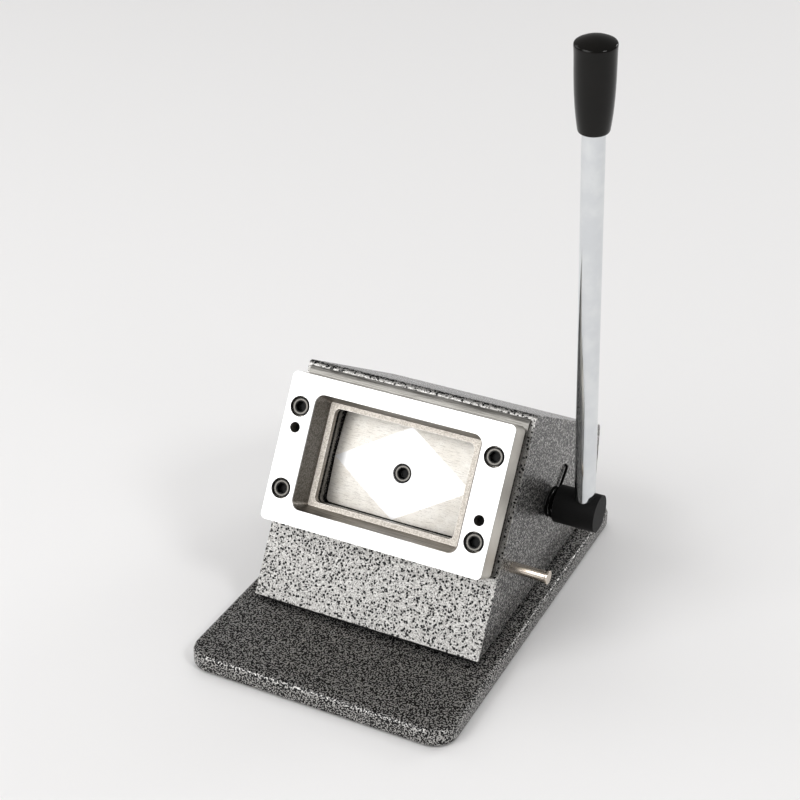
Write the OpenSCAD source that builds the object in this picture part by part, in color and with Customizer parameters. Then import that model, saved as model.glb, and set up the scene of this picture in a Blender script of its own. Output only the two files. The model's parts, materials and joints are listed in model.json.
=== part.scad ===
// Hand-lever punch that cuts plastic cards out of a sheet, in millimetres.
// The origin is the centre of the underside, X runs across the machine with the lever on +X,
// Y runs to the back and Z up. The die faces forward and leans back on its housing.

/* [Base] */
// Width of the base plate
base_width = 160; // [154:1:190]
// Depth of the base plate from front to back
base_depth = 250; // [246:1:290]
// Thickness of the base plate
base_thickness = 10; // [8:0.5:14]
// Corner radius of the base plate seen from above
base_corner = 14; // [6:1:20]
// Rounding along the top edge of the base plate
base_edge = 3; // [1:0.5:4]
// Thickness of the soft pad under the base plate
pad_thickness = 1; // [0.8:0.2:1.6]
// Thickness of the black gasket between the base plate and the housing
gasket_thickness = 3; // [2:0.5:4]

/* [Housing] */
// Width of the housing
housing_width = 140; // [139:1:146]
// Place of the housing's rear edge behind the origin
housing_rear = 115; // [112:1:120]
// Thickness of the housing's side walls
side_wall = 6; // [5:0.5:7]
// Thickness of the housing's front wall
front_wall = 8; // [7:0.5:9]
// Thickness of the housing's top wall
top_wall = 5; // [4:0.5:6]

/* [Die] */
// Width of the card that is cut
card_width = 85.6; // [84:0.1:87]
// Height of the card that is cut
card_height = 54; // [52:0.1:55]
// Corner radius of the card
card_corner = 3.18; // [2.5:0.01:3.5]
// Width of the die plate
die_width = 135; // [132:1:138]
// Height of the die plate up the sloping face
die_height = 85; // [80:1:88]
// Thickness of the die plate
die_thickness = 16; // [14:0.5:18]
// Height of the slot that takes the sheet
slot_height = 3; // [2:0.5:3.5]

/* [Lever] */
// Diameter of the cross shaft
shaft_diameter = 12; // [10:0.5:12]
// Diameter of the lever bar
bar_diameter = 12; // [10:0.5:13]
// Length of the lever bar above the shaft
bar_length = 275; // [250:5:300]
// Turn of the lever from rest to the stop pin, in degrees
lever_travel = 85.5; // [80:0.5:85.5]
// Offset of the eccentric from the shaft
eccentricity = 9.5; // [8:0.5:9.5]

/* [Hidden] */
$fn = 64;

// Fits, and the overrun of cutters
fit = 0.05;
cut = 1;

// Heights of the stack on the table
base_low = pad_thickness;
base_high = base_low + base_thickness;
housing_low = base_high + gasket_thickness;

// The sloping face: its centre on the die's front, and its lean back from upright
face_y = -39;
face_z = 101.5;
face_lean = 30;

// Depths behind the die's front face, measured along the face's normal
die_back = -die_thickness;
guide_front = die_back - slot_height;
guide_back = guide_front - 3;
guide_top = 47;
lead_in = 3;
lead_in_depth = 1.5;
wall_front = guide_back;
wall_back = wall_front - front_wall;

// Housing, with heights on the face measured up its slope from the die's centre
half_width = housing_width / 2;
inside_width = half_width - side_wall;
housing_top = 50;
ceiling = housing_top - top_wall;
front_edge_radius = 3;
rear_edge_radius = 4;

// Screws, all M6 except those of the rear cover
screw_diameter = 6;
screw_head = 10;
screw_head_height = 6;
clearance_hole = 6.5;
socket_width = 5;
socket_depth = 3.4;
base_screw_places = [[-56, -42], [56, -42], [-56, 88], [56, 88]];
base_screw_top = 26;
base_counterbore = 11;
base_counterbore_depth = 6.5;
cover_screw_places = [[-56, 22], [56, 22], [-56, 57], [56, 57]];
cover_screw_diameter = 4;
cover_screw_head = 7.5;

// Die furniture
die_screw_places = [[-59, -23.5], [59, -23.5], [-59, 23.5], [59, 23.5]];
die_dowel_places = [[-59.1, 11.45], [59.1, -11.45]];
die_counterbore = 11.8;
die_counterbore_depth = 7;
die_head_recess = 0.8;
dowel_diameter = 6;
window_width = 101.6;
window_height = 66;
window_corner = 5.5;
ledge_width = 92;
ledge_height = 59.5;
ledge_corner = 1;
ledge_depth = 12;

// Rear cover
cover_thickness = 4;
cover_back = housing_rear - 1;
cover_top = 64.4;

// Cross shaft and lever
shaft_up = 2.5;
shaft_back = -80.2;
shaft_left = -75;
shaft_right = 85;
hub_left = 76;
hub_right = 101;
hub_diameter = 22;
bar_x = 92;
lever_lean = 7.33;
grip_low = 240.5;
grip_high = 289.7;
grip_radius = 10.5;
grip_taper = 2.3;
grip_lip = 0.25;
grip_edge = 1.5;
grip_mouth = 0.8;
crown_slope = 30;

// Eccentric at rest, half of the travel before its middle
eccentric_radius = 18;
eccentric_half = 10;
eccentric_up = eccentricity * cos(lever_travel / 2);
eccentric_forward = -eccentricity * sin(lever_travel / 2);
key_size = 4;

// Ram, punch and the posts that guide them
ram_front = -48;
ram_back = -58;
post_x = 52;
post_diameter = 10;
post_shank = 8;
post_end = -69;
boss_diameter = 18;
boss_back = -66;
yoke_back = -113;
yoke_half = 12;
yoke_low = -18;
yoke_high = 39;
yoke_gap = 0.35;
punch_gap = 0.3;
punch_front = -25.2;
punch_drop = 2;
punch_width = card_width - 2 * punch_gap;
punch_height = card_height - 2 * punch_gap;
punch_counterbore_depth = 7;

// Stop pin
stop_y = -21.3;
stop_z = 50.3;
stop_diameter = 6.5;
stop_end = 92.3;
stop_flange = 8;

// Return spring: a wire wound round the shaft between the housing and the lever hub
wire = 1.6;
coil_radius = 8.5;
coil_turns = 1.75;
coil_pitch = 2.1;
coil_x = 71.1;
bend_radius = 1.6;
anchor_y = 57;
anchor_z = 73.5;
anchor_end = 65.5;
hub_end = 79.5;
wire_hole = 2.4;
curl_rings = 8;
tube_sides = 6;

// A point of the side view, given by its height up the slope and its depth off the face
function face_point(up, forward) = [
    face_y + up * sin(face_lean) - forward * cos(face_lean),
    face_z + up * cos(face_lean) + forward * sin(face_lean)
];

// How far up the slope a surface at one depth meets one height above the table
function up_at_height(height, forward) =
    (height - face_z - forward * sin(face_lean)) / cos(face_lean);

// How far off the face a surface at one slope height meets one place along Y
function forward_at_y(y, up) = (face_y + up * sin(face_lean) - y) / cos(face_lean);

shaft = face_point(shaft_up, shaft_back);

function unit(v) = v / norm(v);
function before(points, i) = unit(points[(i + len(points) - 1) % len(points)] - points[i]);
function after(points, i) = unit(points[(i + 1) % len(points)] - points[i]);
function half_angle(points, i) = acos(before(points, i) * after(points, i)) / 2;

function corner_centre(points, i, radius) =
    points[i] + radius / sin(half_angle(points, i)) * unit(before(points, i) + after(points, i));

// The two ends of the rounding at one corner of an outline, or the corner itself
function corner_ends(points, i, radius) =
    let (back = radius / tan(half_angle(points, i)))
    radius == 0
        ? [points[i]]
        : [points[i] + back * before(points, i), points[i] + back * after(points, i)];

// A closed outline whose corners are rounded with their own radii
module rounded_outline(points, radii) {
    polygon([for (i = [0 : len(points) - 1]) each corner_ends(points, i, radii[i])]);
    for (i = [0 : len(points) - 1])
        if (radii[i] > 0)
            translate(corner_centre(points, i, radii[i]))
                circle(radii[i]);
}

// What a rounding takes off one corner of an outline, drawn a little past the outline
module corner_waste(points, i, radius) {
    centre = corner_centre(points, i, radius);
    ends = corner_ends(points, i, radius);
    difference() {
        polygon([
            centre,
            ends[0] + cut * unit(ends[0] - centre),
            points[i] + 2 * cut * unit(points[i] - centre),
            ends[1] + cut * unit(ends[1] - centre)
        ]);
        translate(centre)
            circle(radius + 0.01);
    }
}

module rounded_rectangle(width, height, radius)
    rounded_outline(
        [
            [-width / 2, -height / 2],
            [width / 2, -height / 2],
            [width / 2, height / 2],
            [-width / 2, height / 2]
        ],
        [radius, radius, radius, radius]
    );

// Puts its children on the sloping face, with Z along the face's normal
module on_face()
    translate([0, face_y, face_z])
        rotate([90 - face_lean, 0, 0])
            children();

// Extrudes an outline between two depths of the frame that it is drawn in
module slab(from, to)
    translate([0, 0, from])
        linear_extrude(to - from)
            children();

// Extrudes a side view, drawn in Y and Z, between two places along X
module across(from, to)
    translate([from, 0, 0])
        rotate([90, 0, 90])
            linear_extrude(to - from)
                children();

module at_each(places)
    for (place = places)
        translate(place)
            children();

module rod(diameter, from, to)
    slab(from, to)
        circle(d = diameter);

// A round bar across the machine, centred on a point of the side view
module cross_rod(centre, diameter, from, to)
    across(from, to)
        translate(centre)
            circle(d = diameter);

// A socket head screw along Z, its head between two heights and its shank down to a third
module socket_screw(tip, head_low, head_high)
    difference() {
        union() {
            rod(screw_diameter, tip, head_low + fit);
            rod(screw_head, head_low, head_high);
        }
        slab(head_high - socket_depth, head_high + cut)
            circle(d = socket_width / cos(30), $fn = 6);
    }

// Section of the base plate's edge, outwards from a corner's centre
module base_edge_section()
    rounded_outline(
        [[0, base_low], [base_corner, base_low], [base_corner, base_high], [0, base_high]],
        [0, 1, base_edge, 0]
    );

module base_side(reach, length)
    for (turn = [0, 180])
        rotate(turn)
            translate([reach, 0, 0])
                rotate([90, 0, 0])
                    linear_extrude(length, center = true)
                        base_edge_section();

module base_body() {
    x = base_width / 2 - base_corner;
    y = base_depth / 2 - base_corner;
    translate([-x, -y, base_low])
        cube([2 * x, 2 * y, base_thickness]);
    base_side(x, 2 * y);
    rotate(90)
        base_side(y, 2 * x);
    for (corner = [[x, y, 0], [-x, y, 90], [-x, -y, 180], [x, -y, 270]])
        translate([corner[0], corner[1], 0])
            rotate(corner[2])
                rotate_extrude(angle = 90)
                    base_edge_section();
}

module base_plate()
    color("dimgray")
        difference() {
            base_body();
            at_each(base_screw_places) {
                rod(clearance_hole, base_low - cut, base_high + cut);
                rod(base_counterbore, base_low - cut, base_low + base_counterbore_depth);
            }
        }

module base_pad()
    color("black")
        slab(0, pad_thickness)
            difference() {
                rounded_rectangle(base_width - 6, base_depth - 6, base_corner - 3);
                at_each(base_screw_places)
                    circle(d = base_counterbore + 1);
            }

// The screws stand head down, so each one is drawn upside down about its own place
module base_screws()
    color("gray")
        at_each(base_screw_places)
            mirror([0, 0, 1])
                socket_screw(
                    -base_screw_top,
                    -(base_low + base_counterbore_depth),
                    -(base_low + base_counterbore_depth - screw_head_height)
                );

// Plan of the housing's foot, drawn in by one margin
module foot_plan(margin) {
    front = face_point(up_at_height(housing_low, wall_front), wall_front)[0];
    translate([margin - half_width, front + margin])
        square([housing_width - 2 * margin, housing_rear - front - 2 * margin]);
}

module housing_gasket()
    color("black")
        slab(base_high, housing_low)
            difference() {
                foot_plan(2);
                foot_plan(2 + 18);
                at_each(base_screw_places)
                    circle(d = clearance_hole);
            }

module housing_shell() {
    side_view = [
        face_point(up_at_height(housing_low, wall_front), wall_front),
        face_point(housing_top, wall_front),
        face_point(housing_top, forward_at_y(housing_rear, housing_top)),
        [housing_rear, housing_low]
    ];
    difference() {
        across(-half_width, half_width)
            polygon(side_view);
        across(-half_width - cut, half_width + cut) {
            corner_waste(side_view, 1, front_edge_radius);
            corner_waste(side_view, 2, rear_edge_radius);
        }
    }
}

// The hollow runs out through the underside and the rear
module hollow_side_view() {
    floor_z = housing_low - cut;
    behind = housing_rear + 10;
    polygon([
        face_point(up_at_height(floor_z, wall_back), wall_back),
        face_point(ceiling, wall_back),
        face_point(ceiling, forward_at_y(behind, ceiling)),
        [behind, floor_z]
    ]);
}

// Threaded blocks for the base screws and the cover screws, one of each on both sides
module housing_lugs() {
    inner = 48;
    outer = inside_width + 1;
    for (side = [0, 1])
        mirror([side, 0, 0]) {
            translate([inner, -52, housing_low])
                cube([outer - inner, 20, 14]);
            translate([inner, 80, housing_low])
                cube([outer - inner, cover_back - cover_thickness - 80, 16]);
            translate([inner + 2, 96, 51])
                cube([outer - inner - 2, cover_back - cover_thickness - 96, 12]);
        }
}

module housing_front_holes() {
    slab(wall_back - cut, wall_front + cut) {
        square([card_width + 1.4, card_height + 1], center = true);
        at_each(concat(die_screw_places, die_dowel_places))
            circle(d = screw_diameter + 2 * fit);
    }
    at_each([[-post_x, 0], [post_x, 0]])
        rod(post_shank + 2 * fit, wall_back - cut, wall_back + 6);
}

module housing_cross_holes() {
    cross_rod(shaft, 16 + 2 * fit, -half_width - cut, half_width + cut);
    cross_rod([stop_y, stop_z], stop_diameter + 2 * fit, inside_width - cut, half_width + cut);
    cross_rod([anchor_y, anchor_z], wire_hole, inside_width - cut, half_width + cut);
}

module cover_screw_holes(diameter, from, to)
    for (place = cover_screw_places)
        translate([place[0], to, place[1]])
            rotate([90, 0, 0])
                rod(diameter, 0, to - from);

module housing()
    color("silver")
        difference() {
            housing_shell();
            difference() {
                across(-inside_width, inside_width)
                    hollow_side_view();
                housing_lugs();
            }
            on_face()
                housing_front_holes();
            housing_cross_holes();
            at_each(base_screw_places)
                rod(screw_diameter + 2 * fit, housing_low - cut, base_screw_top + 0.5);
            cover_screw_holes(cover_screw_diameter + 2 * fit, 99, cover_back);
        }

module rear_cover()
    color("dimgray")
        difference() {
            translate([-inside_width + 0.3, cover_back - cover_thickness, housing_low + 0.3])
                cube([2 * inside_width - 0.6, cover_thickness, cover_top - housing_low - 0.3]);
            cover_screw_holes(cover_screw_diameter + 0.4, 99, cover_back + cut);
        }

module cover_screws()
    color("gray")
        for (place = cover_screw_places)
            translate([place[0], cover_back, place[1]])
                rotate([-90, 0, 0])
                    difference() {
                        union() {
                            rod(cover_screw_diameter, -14, fit);
                            rod(cover_screw_head, 0, 2.2);
                        }
                        slab(0.7, 2.2 + cut)
                            circle(d = 2.5 / cos(30), $fn = 6);
                    }

// The plate stands above the die, and its top edge slopes back to lead the sheet in
module guide_plate()
    color("gray")
        on_face()
            difference() {
                slab(guide_back, guide_front)
                    difference() {
                        translate([0, (guide_top - die_height / 2) / 2])
                            rounded_rectangle(die_width, guide_top + die_height / 2, 1);
                        rounded_rectangle(card_width, card_height, card_corner);
                        at_each(die_screw_places)
                            circle(d = clearance_hole);
                        at_each(die_dowel_places)
                            circle(d = dowel_diameter + 2 * fit);
                    }
                across(-die_width / 2 - cut, die_width / 2 + cut)
                    polygon([
                        [guide_top - lead_in, guide_front],
                        [guide_top + cut, guide_front - lead_in_depth * (1 + cut / lead_in)],
                        [guide_top + cut, guide_front + cut],
                        [guide_top - lead_in, guide_front + cut]
                    ]);
            }

module slot_spacers()
    color("lightgray")
        on_face()
            at_each(die_screw_places)
                slab(guide_front, die_back)
                    difference() {
                        circle(d = 12);
                        circle(d = clearance_hole);
                    }

// One thin slice of the die's tapered window, at one depth below the front face
module window_slice(depth) {
    share = depth / ledge_depth;
    slab(-depth, -depth + 0.01)
        rounded_rectangle(
            window_width + share * (ledge_width - window_width),
            window_height + share * (ledge_height - window_height),
            window_corner + share * (ledge_corner - window_corner)
        );
}

module die_window()
    hull($fn = 32) {
        window_slice(-cut);
        window_slice(ledge_depth);
    }

module front_die()
    color("whitesmoke")
        on_face()
            difference() {
                slab(die_back, 0)
                    rounded_rectangle(die_width, die_height, 3);
                die_window();
                slab(die_back - cut, -ledge_depth + 0.5)
                    rounded_rectangle(card_width, card_height, card_corner);
                at_each(die_screw_places) {
                    rod(clearance_hole, die_back - cut, cut);
                    rod(die_counterbore, -die_counterbore_depth, cut);
                }
                at_each(die_dowel_places)
                    rod(dowel_diameter + 2 * fit, die_back - cut, cut);
            }

module die_screws()
    color("black")
        on_face()
            at_each(die_screw_places)
                socket_screw(wall_back + 1, -die_counterbore_depth, -die_head_recess);

module die_dowels()
    color("gray")
        on_face()
            at_each(die_dowel_places)
                rod(dowel_diameter, wall_back + 2, -8);

module guide_posts()
    color("silver")
        on_face()
            at_each([[-post_x, 0], [post_x, 0]]) {
                rod(post_diameter, post_end, wall_back);
                rod(post_shank, wall_back - cut, wall_back + 6);
            }

// A flanged bush in one side wall, drawn on the right
module bush()
    color("goldenrod")
        difference() {
            union() {
                cross_rod(shaft, 16, inside_width - fit, half_width);
                cross_rod(shaft, 20, inside_width - 1.5, inside_width);
            }
            cross_rod(shaft, shaft_diameter + 2 * fit, inside_width - 3, half_width + cut);
        }

module bush_right()
    bush();

module bush_left()
    mirror([1, 0, 0])
        bush();

module stop_pin()
    color("silver") {
        cross_rod([stop_y, stop_z], stop_diameter, inside_width - 6.5, stop_end);
        cross_rod([stop_y, stop_z], stop_flange, stop_end - 1.5, stop_end);
    }

module stop_pin_nut()
    color("gray")
        across(inside_width - 5.5, inside_width)
            translate([stop_y, stop_z])
                difference() {
                    circle(d = 10 / cos(30), $fn = 6);
                    circle(d = stop_diameter + 2 * fit);
                }

// The wire's route round the shaft, from its end in the hub to its end in the side wall
anchor = [anchor_y, anchor_z] - shaft;
coil_last = atan2(anchor[1], anchor[0]) - acos(coil_radius / norm(anchor));
coil_first = coil_last - 360 * coil_turns;
coil_hub_x = coil_x + coil_pitch * coil_turns;
coil_steps = curl_rings * coil_turns;
x_axis = [1, 0, 0];

function coil_point(step) =
    let (angle = coil_first + 360 * step / curl_rings)
    [
        coil_hub_x - coil_pitch * step / curl_rings,
        shaft[0] + coil_radius * cos(angle),
        shaft[1] + coil_radius * sin(angle)
    ];

function coil_direction(angle) = [0, -sin(angle), cos(angle)];

// A quarter bend round a centre, from one direction to the next
function bend_points(centre, from, to) = [
    for (angle = [0 : 30 : 90])
        centre + bend_radius * (cos(angle) * from + sin(angle) * to)
];

hub_way = coil_direction(coil_first);
wall_way = coil_direction(coil_last);
hub_bend_centre = coil_point(0) + bend_radius * x_axis;
wall_corner = [coil_x, anchor_y, anchor_z];
wall_bend_centre = wall_corner - bend_radius * (wall_way + x_axis);
hub_bend = bend_points(hub_bend_centre, -hub_way, -x_axis);
wire_route = concat(
    [[hub_end, hub_bend[0][1], hub_bend[0][2]]],
    hub_bend,
    [for (step = [1 : coil_steps]) coil_point(step)],
    bend_points(wall_bend_centre, x_axis, wall_way),
    [[anchor_end, anchor_y, anchor_z]]
);
wire_steps = len(wire_route) - 1;

function direction_at(i) = unit(wire_route[min(i + 1, wire_steps)] - wire_route[max(i - 1, 0)]);
function level(side, way) = unit(side - way * (side * way));

// Carried along the wire, so that its rings do not twist against each other
wire_sides = [
    for (
        i = 0, side = level([0, 1, 1], direction_at(0));
        i <= wire_steps;
        i = i + 1, side = level(side, direction_at(min(i, wire_steps)))
    ) side
];

wire_points = [
    for (i = [0 : wire_steps])
        for (k = [0 : tube_sides - 1])
            let (side = wire_sides[i], turn = 360 * k / tube_sides)
            wire_route[i] + wire / 2
                * (cos(turn) * side + sin(turn) * cross(direction_at(i), side))
];

function ring_point(ring, k) = ring * tube_sides + k % tube_sides;

wire_faces = concat(
    [for (k = [1 : tube_sides - 2]) [0, k, k + 1]],
    [
        for (i = [0 : wire_steps - 1])
            for (k = [0 : tube_sides - 1])
                each [
                    [ring_point(i, k), ring_point(i + 1, k), ring_point(i, k + 1)],
                    [ring_point(i, k + 1), ring_point(i + 1, k), ring_point(i + 1, k + 1)]
                ]
    ],
    [
        for (k = [1 : tube_sides - 2])
            [
                ring_point(wire_steps, 0),
                ring_point(wire_steps, k + 1),
                ring_point(wire_steps, k)
            ]
    ]
);

// Least gap between one turn and the next, taken on the points of the route
least_gap = min([
    for (i = [0 : wire_steps - curl_rings + 1])
        for (j = [i + curl_rings - 1 : wire_steps])
            norm(wire_route[i] - wire_route[j]) - wire
]);
echo(least_spring_gap = least_gap);

module torsion_spring()
    color("dimgray")
        polyhedron(wire_points, wire_faces);

// The key's place on the shaft, on the side where the eccentric is thick
module at_key()
    translate([0, shaft[0], shaft[1]])
        rotate([90 - face_lean + atan2(eccentric_forward, eccentric_up), 0, 0])
            children();

module key_block(half_length, half_size, low, high)
    at_key()
        translate([-half_length, low, -half_size])
            cube([2 * half_length, high - low, 2 * half_size]);

key_low = shaft_diameter / 2 - key_size / 2;
key_high = key_low + key_size;

module cam_shaft()
    color("silver")
        difference() {
            cross_rod(shaft, shaft_diameter, shaft_left, shaft_right);
            key_block(9 + fit, key_size / 2 + fit, key_low - fit, key_high);
            across(shaft_left + 1.9, shaft_left + 3.2)
                translate(shaft)
                    difference() {
                        circle(d = shaft_diameter + 2);
                        circle(d = shaft_diameter - 2);
                    }
        }

module eccentric()
    color("slategray")
        difference() {
            cross_rod(
                face_point(shaft_up + eccentric_up, shaft_back + eccentric_forward),
                2 * eccentric_radius,
                -eccentric_half,
                eccentric_half
            );
            cross_rod(
                shaft,
                shaft_diameter + 2 * fit,
                -eccentric_half - cut,
                eccentric_half + cut
            );
            key_block(eccentric_half + cut, key_size / 2 + fit, 0, key_high + fit);
        }

module eccentric_key()
    color("gray")
        key_block(9, key_size / 2, key_low, key_high);

// Seen from the side, grub screws point down and back from the shaft
grub_turn = 30;
grub_diameter = 5;
collar_left = inside_width - 9;
collar_right = inside_width - 1.8;
collar_diameter = 20;

module at_grub(x)
    translate([x, shaft[0], shaft[1]])
        rotate([180 + grub_turn, 0, 0])
            children();

module shaft_collar()
    color("gray")
        difference() {
            cross_rod(shaft, collar_diameter, collar_left, collar_right);
            cross_rod(shaft, shaft_diameter + 2 * fit, collar_left - cut, collar_right + cut);
            at_grub((collar_left + collar_right) / 2)
                rod(grub_diameter + 2 * fit, 0, collar_diameter);
        }

module thrust_washer()
    color("gold")
        across(-half_width - 1.8, -half_width - 0.3)
            translate(shaft)
                difference() {
                    circle(d = 20);
                    circle(d = shaft_diameter + 2 * fit);
                }

module retaining_ring()
    color("dimgray")
        across(shaft_left + 1.95, shaft_left + 3.15)
            translate(shaft)
                difference() {
                    circle(d = 17);
                    circle(d = shaft_diameter - 2 + 2 * fit);
                    translate([-3, -10])
                        square([6, 10]);
                }

module on_lever()
    translate([bar_x, shaft[0], shaft[1]])
        rotate([lever_lean, 0, 0])
            children();

module lever_hub()
    color("black")
        difference() {
            cross_rod(shaft, hub_diameter, hub_left, hub_right);
            cross_rod(shaft, shaft_diameter + 2 * fit, hub_left - cut, shaft_right + 0.5);
            cross_rod(
                [hub_bend[0][1], hub_bend[0][2]],
                wire_hole,
                hub_left - cut,
                hub_end + 1
            );
            on_lever()
                rod(bar_diameter + 2 * fit, -bar_diameter / 2 - fit, hub_diameter);
            at_grub((hub_left + shaft_right) / 2)
                rod(grub_diameter + 2 * fit, 0, hub_diameter);
        }

module grub_screw(length)
    difference() {
        rod(grub_diameter, shaft_diameter / 2 + fit, shaft_diameter / 2 + length);
        slab(shaft_diameter / 2 + length - 2, shaft_diameter)
            circle(d = 2.5 / cos(30), $fn = 6);
    }

module grub_screws()
    color("gray")
        for (x = [(collar_left + collar_right) / 2, (hub_left + shaft_right) / 2])
            at_grub(x)
                grub_screw(3.8);

module lever_bar()
    color("silver")
        on_lever()
            rod(bar_diameter, -bar_diameter / 2, bar_length);

// The grip swells from its rounded mouth to a slight lip, and ends in a low domed crown
crown_rim = grip_radius + grip_lip - grip_edge * (1 - sin(crown_slope));
crown_radius = crown_rim / sin(crown_slope);
crown_height = crown_radius * (1 - cos(crown_slope));
grip_edge_height = grip_high - crown_height - grip_edge * cos(crown_slope);

function grip_side(share) =
    grip_radius - grip_taper * pow(1 - share, 3) + grip_lip * pow(share, 14);

grip_outline = concat(
    [
        [0, grip_low],
        [grip_side(0) - grip_mouth, grip_low],
        [grip_side(0) - 0.3 * grip_mouth, grip_low + 0.3 * grip_mouth]
    ],
    [
        for (share = [0 : 1 / 14 : 1])
            [
                grip_side(share),
                grip_low + grip_mouth + share * (grip_edge_height - grip_low - grip_mouth)
            ]
    ],
    [
        for (angle = [15 : 15 : 90 - crown_slope])
            [
                grip_radius + grip_lip - grip_edge + grip_edge * cos(angle),
                grip_edge_height + grip_edge * sin(angle)
            ]
    ],
    [
        for (angle = [crown_slope - 5 : -5 : 0])
            [
                crown_radius * sin(angle),
                grip_high - crown_radius * (1 - cos(angle))
            ]
    ]
);

module lever_grip()
    color("black")
        on_lever()
            difference() {
                rotate_extrude()
                    polygon(grip_outline);
                rod(bar_diameter + 2 * fit, grip_low - cut, bar_length + 0.2);
            }

module ram_yoke() {
    window_half = eccentric_radius + yoke_gap;
    window_middle = shaft_back;
    difference() {
        translate([-yoke_half, yoke_low, yoke_back])
            cube([2 * yoke_half, yoke_high - yoke_low, ram_back - yoke_back + fit]);
        translate([
            -yoke_half - cut,
            yoke_low + 8,
            window_middle + eccentric_forward - window_half
        ])
            cube([2 * yoke_half + 2 * cut, yoke_high - yoke_low - 16, 2 * window_half]);
    }
}

module ram()
    color("lightslategray")
        on_face()
            difference() {
                union() {
                    slab(ram_back, ram_front)
                        square([122, 52], center = true);
                    at_each([[-post_x, 0], [post_x, 0]])
                        rod(boss_diameter, boss_back, ram_back + fit);
                    ram_yoke();
                }
                at_each([[-post_x, 0], [post_x, 0]])
                    rod(post_diameter + 2 * fit, boss_back - cut, ram_front + cut);
                rod(screw_diameter + 2 * fit, -64.3, ram_front + cut);
                at_each([[-30, 0], [30, 0]])
                    rod(dowel_diameter + 2 * fit, ram_front - 8 - fit, ram_front + cut);
            }

// Four sloping cuts leave a flat diamond that reaches the middle of each side
module punch_corner_cuts() {
    half_x = punch_width / 2;
    half_y = punch_height / 2;
    reach = half_x * half_y / norm([half_x, half_y]);
    facing = atan2(half_x, half_y);
    for (turn = [facing, 180 - facing, 180 + facing, -facing])
        rotate(turn)
            translate([reach, 0, punch_front])
                rotate([0, atan(punch_drop / reach), 0])
                    translate([0, -half_x, 0])
                        cube([half_x, 2 * half_x, 2 * punch_drop]);
}

module punch()
    color("gainsboro")
        on_face()
            difference() {
                slab(ram_front, punch_front)
                    rounded_rectangle(punch_width, punch_height, card_corner - punch_gap);
                punch_corner_cuts();
                rod(screw_head + 1, punch_front - punch_counterbore_depth, punch_front + cut);
                rod(clearance_hole, ram_front - cut, punch_front);
                at_each([[-30, 0], [30, 0]])
                    rod(dowel_diameter + 2 * fit, ram_front - cut, ram_front + 6 + fit);
            }

module punch_screw()
    color("black")
        on_face()
            socket_screw(
                -64,
                punch_front - punch_counterbore_depth,
                punch_front - punch_counterbore_depth + screw_head_height
            );

module punch_dowels()
    color("gray")
        on_face()
            at_each([[-30, 0], [30, 0]])
                rod(dowel_diameter, ram_front - 8, ram_front + 6);

base_plate();
base_pad();
base_screws();
housing_gasket();
housing();
rear_cover();
cover_screws();
guide_plate();
slot_spacers();
front_die();
die_screws();
die_dowels();
guide_posts();
bush_right();
bush_left();
stop_pin();
stop_pin_nut();
torsion_spring();
cam_shaft();
eccentric();
eccentric_key();
shaft_collar();
thrust_washer();
retaining_ring();
lever_hub();
grub_screws();
lever_bar();
lever_grip();
ram();
punch();
punch_screw();
punch_dowels();
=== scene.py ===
"""Looks of the hand-lever card cutter: pieces, materials, studio light and camera.

Sizes are in metres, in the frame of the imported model: X across the machine with the lever
on +X, Y to the back, Z up. The easings and the return spring are in millimetres. The die
plate's own frame has its origin in the middle of the plate's front: X across, Y up the
slope, Z out along the face's normal.
"""

import json
import math

import bmesh
import bpy
from mathutils import Matrix, Vector

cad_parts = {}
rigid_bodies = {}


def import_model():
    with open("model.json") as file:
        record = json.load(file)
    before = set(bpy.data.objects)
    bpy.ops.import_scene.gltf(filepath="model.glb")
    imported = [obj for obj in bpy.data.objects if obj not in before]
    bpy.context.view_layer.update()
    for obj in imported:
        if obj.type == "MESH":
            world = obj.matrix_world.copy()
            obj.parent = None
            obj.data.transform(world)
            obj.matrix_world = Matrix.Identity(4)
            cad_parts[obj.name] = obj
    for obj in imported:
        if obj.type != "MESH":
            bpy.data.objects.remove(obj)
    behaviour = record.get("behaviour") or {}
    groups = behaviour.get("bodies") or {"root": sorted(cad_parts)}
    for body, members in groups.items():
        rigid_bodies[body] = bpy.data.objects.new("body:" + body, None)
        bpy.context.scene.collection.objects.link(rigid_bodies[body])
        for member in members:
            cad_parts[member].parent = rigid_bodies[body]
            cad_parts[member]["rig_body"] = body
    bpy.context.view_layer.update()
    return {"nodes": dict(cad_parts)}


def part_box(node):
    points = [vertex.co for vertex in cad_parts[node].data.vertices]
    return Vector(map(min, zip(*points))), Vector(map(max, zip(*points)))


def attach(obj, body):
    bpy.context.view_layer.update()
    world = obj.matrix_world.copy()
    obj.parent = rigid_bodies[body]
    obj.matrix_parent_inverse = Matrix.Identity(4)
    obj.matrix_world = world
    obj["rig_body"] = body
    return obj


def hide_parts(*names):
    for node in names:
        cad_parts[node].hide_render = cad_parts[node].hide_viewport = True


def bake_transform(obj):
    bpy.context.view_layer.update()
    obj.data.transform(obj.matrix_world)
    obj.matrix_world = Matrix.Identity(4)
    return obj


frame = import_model()
NODES = frame["nodes"]

MM = 0.001
FACE_LEAN = math.radians(30)
FACE_CENTRE = Vector((0, -39, 101.5)) * MM

# Across the die plate and up it: half sizes of its window and of the punch's bright diamond,
# and the place of one screw, which the other three mirror
WINDOW = (51.1 * MM, 33.3 * MM)
DIAMOND = (42.5 * MM, 26.7 * MM)
DIE_SCREWS = (59 * MM, 23.5 * MM)
# Radius of the light ring round each socket, partly wear and partly a painted highlight of the
# head's chamfer
SOCKET_RING_RADIUS = 3.95 * MM

# Along the die plate's normal: the housing's panel, and where one tone gives way to another
PANEL = -22 * MM
BEHIND_FRONT = (-0.4 * MM, -0.9 * MM)
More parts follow.
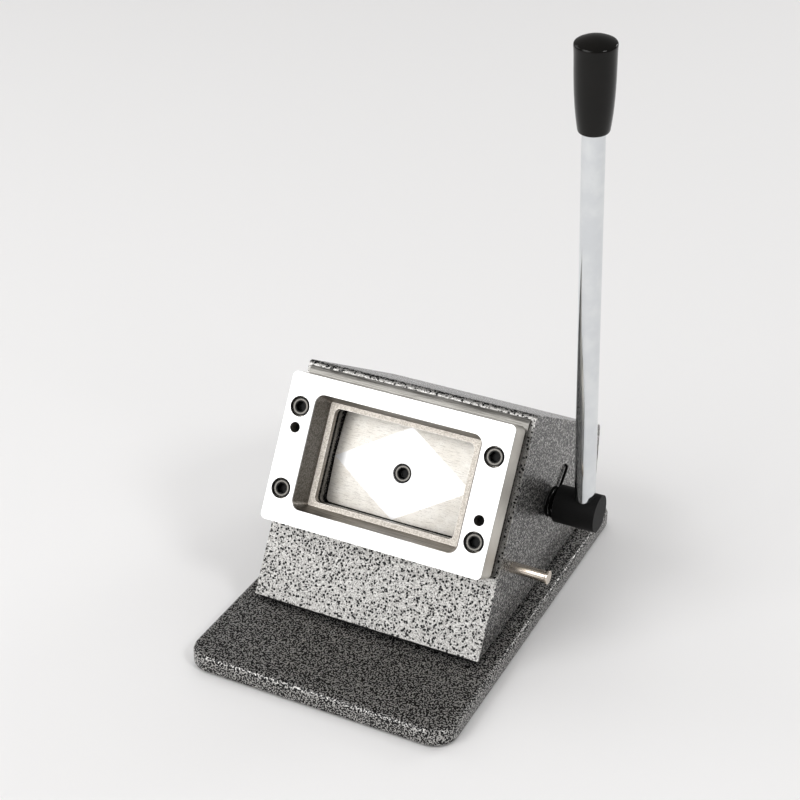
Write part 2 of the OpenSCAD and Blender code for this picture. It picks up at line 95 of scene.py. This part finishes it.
# Where the dark rim round the die's front edge starts and ends: a painted reflection
PAINTED_RIM_STARTS = (-0.03 * MM, -0.12 * MM)
PAINTED_RIM_ENDS = (-0.9 * MM, -0.7 * MM)
LEDGE = (-11.3 * MM, -11.7 * MM)


# ---------------------------------------------------------------- shader helpers


class Finish:
    """A material and short ways to add nodes to it."""

    def __init__(self, name, **surface):
        self.material = bpy.data.materials.new(name)
        self.material.use_nodes = True
        self.tree = self.material.node_tree
        self.shader = self.tree.nodes["Principled BSDF"]
        for socket, value in surface.items():
            self.shader.inputs[socket.replace("_", " ")].default_value = value
        self.place = self.add("ShaderNodeTexCoord").outputs["Object"]

    def add(self, kind, settings=None, **inputs):
        node = self.tree.nodes.new(kind)
        for name, value in (settings or {}).items():
            setattr(node, name, value)
        for name, value in inputs.items():
            self.plug(value, node.inputs[name.replace("_", " ")])
        return node

    def plug(self, value, socket):
        if isinstance(value, bpy.types.NodeSocket):
            self.tree.links.new(value, socket)
        else:
            socket.default_value = value

    def stretched(self, scale, place=None):
        """Texture coordinates drawn out by a different amount along each axis."""
        node = self.add("ShaderNodeMapping", Vector=place or self.place)
        node.inputs["Scale"].default_value = scale
        return node.outputs["Vector"]

    def on_die(self):
        """Coordinates in the die plate's own frame."""
        node = self.add("ShaderNodeMapping", {"vector_type": "TEXTURE"}, Vector=self.place)
        node.inputs["Location"].default_value = FACE_CENTRE
        node.inputs["Rotation"].default_value = (math.pi / 2 - FACE_LEAN, 0, 0)
        return node.outputs["Vector"]

    def axes(self, vector):
        return self.add("ShaderNodeSeparateXYZ", Vector=vector).outputs

    def noise(self, size, detail=2.0, roughness=0.5, place=None):
        """Noise whose features are about the given size in metres."""
        node = self.add(
            "ShaderNodeTexNoise", Vector=place or self.place, Scale=1 / size, Detail=detail,
            Roughness=roughness,
        )
        return node.outputs["Fac"]

    def wobbled(self, size, amount):
        """Coordinates shaken by noise of one size, by an amount in metres."""
        noise = self.add("ShaderNodeTexNoise", Vector=self.place, Scale=1 / size)
        centred = self.add("ShaderNodeVectorMath", {"operation": "SUBTRACT"})
        self.plug(noise.outputs["Color"], centred.inputs[0])
        centred.inputs[1].default_value = (0.5, 0.5, 0.5)
        scaled = self.add("ShaderNodeVectorMath", {"operation": "SCALE"})
        self.plug(centred.outputs["Vector"], scaled.inputs[0])
        scaled.inputs["Scale"].default_value = amount * 2
        total = self.add("ShaderNodeVectorMath", {"operation": "ADD"})
        self.plug(self.place, total.inputs[0])
        self.plug(scaled.outputs["Vector"], total.inputs[1])
        return total.outputs["Vector"]

    def cells(self, size, place):
        """Distance from the middle of scattered cells, in cell sizes."""
        node = self.add("ShaderNodeTexVoronoi", Vector=place, Scale=1 / size)
        return node.outputs["Distance"]

    def math(self, operation, a, b=0.0):
        node = self.add("ShaderNodeMath", {"operation": operation})
        self.plug(a, node.inputs[0])
        self.plug(b, node.inputs[1])
        return node.outputs[0]

    def times(self, a, b):
        return self.math("MULTIPLY", a, b)

    def step(self, value, low, high, to_low=0.0, to_high=1.0):
        """A smooth step from one value to another."""
        node = self.add(
            "ShaderNodeMapRange", {"interpolation_type": "SMOOTHSTEP"}, Value=value,
            From_Min=low, From_Max=high, To_Min=to_low, To_Max=to_high,
        )
        return node.outputs["Result"]

    def within(self, value, reach, soft=0.0002):
        """1 where the size of a value is under a reach, and 0 past it."""
        return self.step(self.math("ABSOLUTE", value), reach + soft, reach - soft)

    def blend(self, share, a, b, mode="MIX"):
        node = self.add("ShaderNodeMix", {"data_type": "RGBA", "blend_type": mode})
        self.plug(share, node.inputs["Factor"])
        self.plug(tinted(a), node.inputs[6])
        self.plug(tinted(b), node.inputs[7])
        return node.outputs[2]

    def between(self, share, a, b):
        """A number that goes from one value to another."""
        node = self.add("ShaderNodeMix", {"data_type": "FLOAT"}, Factor=share)
        self.plug(a, node.inputs[2])
        self.plug(b, node.inputs[3])
        return node.outputs[0]

    def bump(self, height, depth, strength):
        """Bumps of a depth in metres."""
        node = self.add("ShaderNodeBump", Height=height, Distance=depth, Strength=strength)
        return node.outputs["Normal"]

    def bevelled_edges(self, radius, low=0.99, high=0.85):
        """1 along the edges and 0 on the flats, from the shading normal of a bevelled edge."""
        bevel = self.add("ShaderNodeBevel", {"samples": 6}, Radius=radius)
        flat = self.add("ShaderNodeNewGeometry").outputs["Normal"]
        likeness = self.add("ShaderNodeVectorMath", {"operation": "DOT_PRODUCT"})
        self.plug(bevel.outputs["Normal"], likeness.inputs[0])
        self.plug(flat, likeness.inputs[1])
        return self.step(likeness.outputs["Value"], low, high)

    def set(self, **sockets):
        for name, value in sockets.items():
            self.plug(value, self.shader.inputs[name.replace("_", " ")])
        return self.material


def tinted(value):
    """A colour from one grey level or three channels; sockets pass through."""
    if isinstance(value, (int, float)):
        return (value, value, value, 1)
    if isinstance(value, tuple) and len(value) == 3:
        return (*value, 1)
    return value


# ---------------------------------------------------------------- materials


def hammer_paint(name):
    """What both paints share: a metallic finish, shaken coordinates and streaks."""
    f = Finish(name, Metallic=0.9, Coat_Weight=0.4, Coat_Roughness=0.1, Coat_IOR=1.45)
    shaken = f.wobbled(0.0009, 0.0004)
    streak = f.step(f.noise(0.0008, 1.0, 0.5, shaken), 0.38, 0.62)
    return f, shaken, streak


def lacquered(f, dark, streak, low, high):
    """A silver net of two tones round dark spots, with its relief and its lacquer's waves."""
    height = f.math("SUBTRACT", f.times(streak, 0.35), dark)
    waves = f.noise(0.0022, 1.0)
    return f.set(
        Base_Color=f.blend(dark, f.blend(streak, low, high), 0.008),
        Roughness=f.step(streak, 0, 1, 0.48, 0.40), Normal=f.bump(height, 0.00012, 0.8),
        Coat_Normal=f.bump(waves, 0.00010, 0.5),
    )


def housing_paint():
    """One silver paint: open pits on the front panel, and on the other faces a closer grain that
    leaves more dark, so they come out darker; this is partly a different grain and partly
    painted shade.
    """
    f, shaken, streak = hammer_paint("housing_hammer_paint")
    out = f.axes(f.on_die())["Z"]
    panel = f.within(f.math("SUBTRACT", out, PANEL), 0.0006, 0.0001)
    worm = f.noise(0.00095, 1.0, 0.4, shaken)
    pits = f.math(
        "MAXIMUM", f.step(f.cells(0.00200, shaken), 0.39, 0.32), f.step(worm, 0.385, 0.335)
    )
    # The closer grain darkens every face but the panel: partly a different grain, partly painted
    # shade
    grain = f.step(worm, 0.61, 0.51)
    dark = f.between(panel, grain, pits)
    return lacquered(f, dark, streak, (0.36, 0.35, 0.335), (0.62, 0.61, 0.59))


def base_paint():
    """Fine silver worms on black, the same on every face."""
    f, shaken, streak = hammer_paint("base_hammer_paint")
    dark = f.step(f.noise(0.00090, 0.0, 0.5, shaken), 0.575, 0.505)
    return lacquered(f, dark, streak, (0.38, 0.37, 0.355), (0.62, 0.61, 0.59))


def ground_steel(name, colour, roughness, grain=(1, 1, 1)):
    """Ground or turned steel with fine grain and soft stains."""
    f = Finish(name, Metallic=1.0)
    fine = f.noise(0.0006, 3.0, 0.7, f.stretched(grain))
    stains = f.noise(0.012, 3.0, 0.6)
    tone = f.blend(f.step(stains, 0.35, 0.7), tuple(c * 0.9 for c in colour), colour)
    tone = f.blend(f.times(f.step(fine, 0.4, 0.75), 0.3), tone, 0.3, "MULTIPLY")
    return f.set(
        Base_Color=tone, Roughness=f.step(fine, 0.2, 0.8, roughness * 0.85, roughness * 1.2),
        Normal=f.bump(fine, 0.00002, 0.5),
    )


def die_steel():
    """Bright front in a dark line that is a painted reflection, cream sides, darker milled
    window, and a worn ledge whose bright edge line is partly wear and partly a painted
    highlight.
    """
    f = Finish("satin_die_steel", Metallic=1.0)
    place = f.on_die()
    x, up, out = f.axes(place)
    below = f.step(out, *BEHIND_FRONT)
    inside = f.times(f.within(x, WINDOW[0]), f.within(up, WINDOW[1]))
    ledge = f.step(out, *LEDGE)
    smears = f.noise(0.02, 3.0, 0.6)
    scratches = f.noise(0.0005, 3.0, 0.7, f.stretched((0.15, 1, 1), place))
    milled = f.noise(0.0011, 2.0, 0.6, f.stretched((0.05, 1, 1.4), place))
    blotches = f.noise(0.0009, 3.0, 0.65)
    front = f.blend(f.step(smears, 0.35, 0.7), (0.955, 0.955, 0.955), (0.98, 0.98, 0.975))
    # A dark line round the front edge: a painted reflection, not a tone of the steel
    rim = f.times(f.step(out, *PAINTED_RIM_STARTS), f.step(out, *PAINTED_RIM_ENDS))
    rim = f.times(rim, f.step(inside, 1, 0))
    side = f.blend(f.step(smears, 0.3, 0.7), (0.62, 0.59, 0.54), (0.74, 0.71, 0.65))
    wall = f.blend(f.step(milled, 0.35, 0.65), (0.19, 0.175, 0.155), (0.36, 0.335, 0.30))
    worn = f.blend(f.step(blotches, 0.36, 0.66), (0.36, 0.33, 0.29), (0.60, 0.56, 0.51))
    deep = f.blend(ledge, wall, worn)
    # A bright line along the ledge's edges: partly edge wear, partly a painted highlight
    deep = f.blend(f.times(ledge, f.bevelled_edges(0.0005)), deep, (0.95, 0.92, 0.88))
    colour = f.blend(below, front, f.blend(inside, side, deep))
    # The painted reflection's dark grey on the front edge
    colour = f.blend(rim, colour, (0.36, 0.35, 0.33))
    rough = f.blend(below, 0.36, 0.40)
    return f.set(
        Base_Color=colour, Roughness=f.times(rough, f.step(scratches, 0.2, 0.8, 0.9, 1.15)),
        Normal=f.bump(f.times(below, f.math("ADD", scratches, milled)), 0.00002, 0.4),
    )


def punch_steel():
    """A bright ground lozenge between four duller, scratched corners."""
    f = Finish("brushed_punch_steel", Metallic=0.45)
    place = f.on_die()
    x, up, _ = f.axes(place)
    across = f.times(f.math("ABSOLUTE", x), 1 / DIAMOND[0])
    along = f.times(f.math("ABSOLUTE", up), 1 / DIAMOND[1])
    corner = f.step(f.math("ADD", across, along), 0.992, 1.008)
    turned = f.add("ShaderNodeMapping", Vector=place)
    turned.inputs["Rotation"].default_value = (0, 0, math.radians(35))
    turned.inputs["Scale"].default_value = (0.1, 1, 1)
    scratches = f.noise(0.0005, 4.0, 0.75, turned.outputs["Vector"])
    speckle = f.noise(0.0008, 3.0, 0.7)
    cloud = f.noise(0.014, 3.0, 0.6)
    dull = f.blend(f.step(cloud, 0.35, 0.65), (0.86, 0.82, 0.75), (0.96, 0.93, 0.87))
    dull = f.blend(f.times(f.step(scratches, 0.50, 0.66), 0.45), dull, (0.36, 0.32, 0.27))
    dull = f.blend(f.times(f.step(speckle, 0.58, 0.72), 0.5), dull, (0.36, 0.31, 0.26))
    bright = f.blend(f.step(scratches, 0.4, 0.7), (0.98, 0.98, 0.98), (0.95, 0.95, 0.95))
    colour = f.blend(corner, bright, dull)
    rough = f.blend(corner, 0.30, 0.42)
    return f.set(
        Base_Color=colour, Roughness=f.times(rough, f.step(speckle, 0.2, 0.8, 0.9, 1.2)),
        Normal=f.bump(f.times(scratches, corner), 0.00002, 0.5),
    )


def guide_steel():
    """Ground steel brushed along the plate."""
    f = Finish("ground_guide_steel", Metallic=1.0)
    place = f.on_die()
    lines = f.noise(0.0007, 3.0, 0.7, f.stretched((0.03, 1, 1), place))
    tone = f.blend(f.step(lines, 0.38, 0.62), (0.13, 0.125, 0.115), (0.32, 0.31, 0.29))
    tone = f.blend(f.bevelled_edges(0.0003), tone, (0.55, 0.54, 0.52))
    return f.set(
        Base_Color=tone, Roughness=f.step(lines, 0.2, 0.8, 0.3, 0.45),
        Normal=f.bump(lines, 0.00003, 0.6),
    )


def black_oxide(name, across, up_slope):
    """Black oxide, with a light ring round the sockets at one place and its mirror images:
    partly wear, partly a painted highlight of the head's chamfer.
    """
    f = Finish(name, Metallic=0.8)
    x, up, _ = f.axes(f.on_die())
    over = f.math("SUBTRACT", f.math("ABSOLUTE", x), across)
    along = f.math("SUBTRACT", f.math("ABSOLUTE", up), up_slope)
    radius = f.math("SQRT", f.math("ADD", f.times(over, over), f.times(along, along)))
    # The light ring round each socket: partly wear, partly a painted highlight of the head's
    # chamfer
    ring = f.within(f.math("SUBTRACT", radius, SOCKET_RING_RADIUS), 0.00040, 0.00035)
    fine = f.noise(0.0004, 3.0, 0.6)
    tone = f.blend(f.step(fine, 0.35, 0.7), 0.003, 0.008)
    # Colour of the ring: partly wear, partly a painted highlight
    worn = f.blend(f.step(fine, 0.3, 0.7), (0.12, 0.115, 0.105), (0.30, 0.285, 0.26))
    return f.set(
        Base_Color=f.blend(ring, tone, worn), Roughness=f.step(fine, 0.2, 0.8, 0.28, 0.42),
        Normal=f.bump(fine, 0.00001, 0.6),
    )


def chrome(name, low, high, roughness):
    f = Finish(name, Metallic=1.0)
    smears = f.noise(0.015, 3.0, 0.6)
    return f.set(
        Base_Color=f.blend(f.step(smears, 0.4, 0.7), low, high),
        Roughness=f.step(smears, 0.3, 0.75, roughness, roughness * 1.8),
    )


def gloss_black(name):
    f = Finish(name, Specular_IOR_Level=0.22)
    orange_peel = f.noise(0.004, 2.0)
    smears = f.noise(0.012, 3.0, 0.6)
    return f.set(
        Base_Color=f.blend(smears, (0.003, 0.003, 0.0025), (0.007, 0.006, 0.005)),
        Roughness=f.step(smears, 0.3, 0.7, 0.12, 0.20), Normal=f.bump(orange_peel, 0.00002, 0.3),
    )


def satin_black(name, tone, roughness, specular=0.25):
    f = Finish(name, Specular_IOR_Level=specular)
    fine = f.noise(0.0008, 3.0, 0.6)
    colour = f.blend(f.step(fine, 0.3, 0.75), tone, tone * 1.9)
    return f.set(
        Base_Color=colour, Roughness=f.step(fine, 0.2, 0.8, roughness, roughness * 1.3),
        Normal=f.bump(fine, 0.00003, 0.5),
    )


def rubber(name):
    f = Finish(name)
    fine = f.noise(0.0007, 3.0, 0.6)
    return f.set(
        Base_Color=f.blend(fine, 0.006, 0.016), Roughness=f.step(fine, 0.2, 0.8, 0.75, 0.95),
        Normal=f.bump(fine, 0.00006, 0.6),
    )


def painted_shade_bronze(name):
    """Bronze with painted shade: far darker than the real metal so that the gaps round it look
    black.
    """
    f = Finish(name, Metallic=1.0)
    fine = f.noise(0.0008, 3.0, 0.6, f.stretched((0.1, 1, 1)))
    stains = f.noise(0.006, 3.0)
    colour = f.blend(stains, (0.003, 0.002, 0.0015), (0.010, 0.007, 0.004))
    return f.set(
        Base_Color=colour, Roughness=f.step(fine, 0.2, 0.8, 0.3, 0.45),
        Normal=f.bump(fine, 0.00002, 0.5),
    )


MATERIALS = {
    "housing": housing_paint(),
    "base_plate": base_paint(),
    "base_pad": rubber("pad_rubber"),
    "guide_plate": guide_steel(),
    "slot_spacers": ground_steel("turned_steel", (0.6, 0.6, 0.6), 0.3),
    "front_die": die_steel(),
    "punch": punch_steel(),
    # Painted shade: far darker than real steel, so that the gap left of the punch looks black
    "ram": ground_steel("milled_steel_painted_shade", (0.05, 0.05, 0.05), 0.4, (0.1, 1, 1)),
    "die_screws": black_oxide("black_oxide", *DIE_SCREWS),
    "punch_screw": black_oxide("punch_screw_oxide", 0.0, 0.0),
    "die_dowels": satin_black("dark_dowel_steel", 0.006, 0.45),
    "stop_pin": chrome("warm_chrome", (0.66, 0.58, 0.49), (0.80, 0.73, 0.64), 0.14),
    "cam_shaft": ground_steel("shaft_steel", (0.6, 0.6, 0.6), 0.22),
    "lever_bar": chrome("bar_chrome", (0.70, 0.72, 0.74), (0.77, 0.79, 0.80), 0.08),
    "lever_grip": gloss_black("gloss_black_plastic"),
    "lever_hub": satin_black("hub_black", 0.004, 0.5, 0.15),
    "torsion_spring": satin_black("spring_wire", 0.0015, 0.6, 0.04),
    # The bushes' bronze is nearly black: painted shade in the gaps round them
    "bush_right": painted_shade_bronze("painted_shade_bronze"),
}
SAME_AS = {
    "rear_cover": "base_plate", "housing_gasket": "base_pad",
    "cover_screws": "die_screws", "grub_screws": "die_screws", "retaining_ring": "die_screws",
    "base_screws": "slot_spacers", "guide_posts": "cam_shaft", "bush_left": "bush_right",
    "stop_pin_nut": "slot_spacers", "eccentric": "cam_shaft", "eccentric_key": "cam_shaft",
    "shaft_collar": "slot_spacers", "thrust_washer": "bush_right", "punch_dowels": "cam_shaft",
}


def material_of(node):
    return MATERIALS[SAME_AS.get(node, node)]


for name, node in NODES.items():
    node.data.materials.clear()
    node.data.materials.append(material_of(name))


# ---------------------------------------------------------------- pieces

# Widths of the easings, in millimetres
BEVELS = {
    "housing": 0.5, "base_plate": 0.3, "rear_cover": 0.6, "guide_plate": 0.3, "front_die": 0.7,
    "punch": 0.2, "die_screws": 0.6, "punch_screw": 0.6, "cover_screws": 0.5,
    "base_screws": 0.4, "slot_spacers": 0.3, "stop_pin": 0.4, "stop_pin_nut": 0.5,
    "cam_shaft": 0.6, "eccentric": 0.5, "shaft_collar": 0.5, "lever_hub": 0.5, "lever_bar": 0.4,
    "lever_grip": 0, "ram": 0.6, "guide_posts": 0.5, "bush_right": 0.3, "bush_left": 0.3,
}
BEVEL_SEGMENTS = 3
WELD_DISTANCE = 1e-6
FLAT_ANGLE = math.radians(0.4)
SHARP_ANGLE = math.radians(35)


def stand_in(piece, node):
    """Hides the CAD node that a piece stands in for, and returns the piece."""
    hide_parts(node)
    return piece


def new_piece(name, mesh):
    piece = bpy.data.objects.new(name, mesh)
    bpy.context.scene.collection.objects.link(piece)
    return piece


def shade(mesh):
    mesh.shade_smooth()
    mesh.set_sharp_from_angle(angle=SHARP_ANGLE)


def clean_normals(mesh):
    """Drops the normals that came with the imported mesh."""
    if "custom_normal" in mesh.attributes:
        mesh.attributes.remove(mesh.attributes["custom_normal"])


def eased(node, bevel):
    """A copy of a CAD node with its edges eased by a small rounding, standing for it."""
    mesh = NODES[node].data.copy()
    work = bmesh.new()
    work.from_mesh(mesh)
    bmesh.ops.remove_doubles(work, verts=work.verts, dist=WELD_DISTANCE)
    bmesh.ops.dissolve_limit(
        work, angle_limit=FLAT_ANGLE, verts=work.verts, edges=work.edges
    )
    work.to_mesh(mesh)
    work.free()
    clean_normals(mesh)
    shade(mesh)
    piece = new_piece(node + "_eased", mesh)
    if bevel:
        rounding = piece.modifiers.new("easing", "BEVEL")
        rounding.width = bevel * MM
        rounding.segments = BEVEL_SEGMENTS
        rounding.limit_method = "ANGLE"
        rounding.angle_limit = SHARP_ANGLE
        rounding.harden_normals = True
        rounding.use_clamp_overlap = True
    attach(piece, NODES[node]["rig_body"])
    return stand_in(piece, node)


# The return spring, in millimetres: the same wire as the CAD solid's, round and smooth
WIRE = 1.6
COIL_RADIUS = 8.5
COIL_TURNS = 1.75
COIL_PITCH = 2.1
STEPS_PER_TURN = 40
COIL_X = 71.1
HUB_X = COIL_X + COIL_PITCH * COIL_TURNS
BEND = 1.6
ANCHOR = Vector((COIL_X, 57, 73.5))
ANCHOR_END_X = 65.5
HUB_END_X = 79.5
X_AXIS = Vector((1, 0, 0))


def shaft_middle():
    low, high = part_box("cam_shaft")
    return (low + high) / 2


def coil_way(angle):
    """The way the coil runs at an angle round the shaft."""
    return Vector((0, -math.sin(angle), math.cos(angle)))


def quarter(centre, start, end, steps=8):
    """Points of a quarter bend round a centre, from one direction to the next."""
    return [
        centre + BEND * (math.cos(a) * start + math.sin(a) * end)
        for a in (math.pi / 2 * i / steps for i in range(steps + 1))
    ]


def spring_route():
    """The wire's middle line, from the hub round the coil to the side wall."""
    axis = shaft_middle() / MM
    arm = Vector((0, ANCHOR.y - axis.y, ANCHOR.z - axis.z))
    last = math.atan2(arm.z, arm.y) - math.acos(COIL_RADIUS / arm.length)
    first = last - 2 * math.pi * COIL_TURNS

    def coil(turn):
        angle = first + 2 * math.pi * turn
        return Vector((
            HUB_X - COIL_PITCH * turn,
            axis.y + COIL_RADIUS * math.cos(angle),
            axis.z + COIL_RADIUS * math.sin(angle),
        ))

    hub_way = coil_way(first)
    wall_way = coil_way(last)
    hub_bend = quarter(coil(0) + BEND * X_AXIS, -hub_way, -X_AXIS)
    wall_bend = quarter(ANCHOR - BEND * (wall_way + X_AXIS), X_AXIS, wall_way)
    steps = round(STEPS_PER_TURN * COIL_TURNS)
    return (
        [Vector((HUB_END_X, hub_bend[0].y, hub_bend[0].z))] + hub_bend
        + [coil(COIL_TURNS * i / steps) for i in range(1, steps + 1)]
        + wall_bend + [Vector((ANCHOR_END_X, ANCHOR.y, ANCHOR.z))]
    )


def tube(name, route, radius, sides=14):
    """A round wire along a route, with its rings carried along without twist."""
    mesh = bpy.data.meshes.new(name)
    work = bmesh.new()
    rings = []
    side = Vector((0, 1, 1))
    last = len(route) - 1
    for i, point in enumerate(route):
        way = (route[min(i + 1, last)] - route[max(i - 1, 0)]).normalized()
        side = (side - way * side.dot(way)).normalized()
        across = way.cross(side)
        rings.append([
            work.verts.new((point + radius * (math.cos(t) * side + math.sin(t) * across)) * MM)
            for t in (2 * math.pi * k / sides for k in range(sides))
        ])
    for here, there in zip(rings, rings[1:]):
        for k in range(sides):
            n = (k + 1) % sides
            work.faces.new((here[k], here[n], there[n], there[k]))
    work.faces.new(reversed(rings[0]))
    work.faces.new(rings[-1])
    bmesh.ops.recalc_face_normals(work, faces=work.faces)
    work.to_mesh(mesh)
    work.free()
    shade(mesh)
    return new_piece(name, mesh)


def make_spring():
    """The return spring as a round wire from the hub round the coil to the side wall, a fixed
    shape standing in for the CAD solid.
    """
    spring = tube("return_spring", spring_route(), WIRE / 2)
    spring.data.materials.append(material_of("torsion_spring"))
    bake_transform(spring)
    stand_in(spring, "torsion_spring")


for name, bevel in BEVELS.items():
    eased(name, bevel)
make_spring()


# ---------------------------------------------------------------- studio

FLOOR_REACH = 8.0
FLOOR_COLOUR = (0.87, 0.863, 0.860, 1)
WORLD_COLOUR = (1, 0.99, 0.985, 1)
WORLD_STRENGTH = 0.27
AIM = Vector((0, 0, 0.08))
LAMP_DISTANCE = 2.2
FILL_DISTANCE = 4.6
# Name, direction from the machine, width, height and power; the fill has its own distance
LAMPS = [
    ("key", (-0.37, -0.76, 0.53), 1.5, 1.5, 17),
    ("spark", (-0.377, -0.494, 0.783), 0.9, 0.5, 6),
    ("left", (-0.86, 0.08, 0.50), 1.3, 1.3, 6),
    ("right", (0.68, -0.27, 0.68), 0.5, 0.5, 10),
    ("rim", (0.45, 0.78, 0.42), 0.7, 0.3, 5),
]
FILL = ("fill", (-0.08, 0.75, 1.0), 6.5, 6.5, 116)


def make_floor():
    r = FLOOR_REACH
    mesh = bpy.data.meshes.new("floor")
    mesh.from_pydata([(-r, -r, 0), (r, -r, 0), (r, r, 0), (-r, r, 0)], [], [(0, 1, 2, 3)])
    floor = new_piece("floor", mesh)
    mesh.materials.append(
        Finish("floor_white", Roughness=0.9, Base_Color=FLOOR_COLOUR).material
    )


def soft_box(name, towards, width, height, power, distance=LAMP_DISTANCE, in_gloss=True):
    """A rectangular lamp in one direction from the machine, aimed at it."""
    light = bpy.data.lights.new(name, "AREA")
    light.shape = "RECTANGLE"
    light.size = width
    light.size_y = height
    light.energy = power
    lamp = bpy.data.objects.new(name, light)
    bpy.context.scene.collection.objects.link(lamp)
    lamp.location = AIM + Vector(towards).normalized() * distance
    lamp.rotation_euler = (AIM - lamp.location).to_track_quat("-Z", "Y").to_euler()
    lamp.visible_glossy = in_gloss


def make_world():
    world = bpy.data.worlds.new("studio")
    bpy.context.scene.world = world
    world.use_nodes = True
    background = world.node_tree.nodes["Background"]
    background.inputs["Color"].default_value = WORLD_COLOUR
    background.inputs["Strength"].default_value = WORLD_STRENGTH


# ---------------------------------------------------------------- camera

LENS = 78.06
SENSOR = 36
AZIMUTH = math.radians(25.74)
ELEVATION = math.radians(29.62)
ROLL = math.radians(0.80)
CAMERA_PLACE = Vector((355.97, -759.57, 604.26)) * MM
CLIP_END = 50


def make_camera():
    forward = Vector((
        -math.sin(AZIMUTH) * math.cos(ELEVATION),
        math.cos(AZIMUTH) * math.cos(ELEVATION),
        -math.sin(ELEVATION),
    ))
    level = Vector((math.cos(AZIMUTH), math.sin(AZIMUTH), 0))
    upright = level.cross(forward)
    right = level * math.cos(ROLL) + upright * math.sin(ROLL)
    up = upright * math.cos(ROLL) - level * math.sin(ROLL)
    data = bpy.data.cameras.new("camera")
    data.lens = LENS
    data.sensor_width = SENSOR
    data.sensor_fit = "HORIZONTAL"
    data.clip_end = CLIP_END
    camera = bpy.data.objects.new("camera", data)
    bpy.context.scene.collection.objects.link(camera)
    turn = Matrix((right, up, -forward)).transposed().to_4x4()
    camera.matrix_world = Matrix.Translation(CAMERA_PLACE) @ turn
    bpy.context.scene.camera = camera


make_floor()
make_camera()
make_world()
for lamp in LAMPS:
    soft_box(*lamp)
soft_box(*FILL, distance=FILL_DISTANCE, in_gloss=False)
bpy.context.scene.view_settings.view_transform = "Standard"
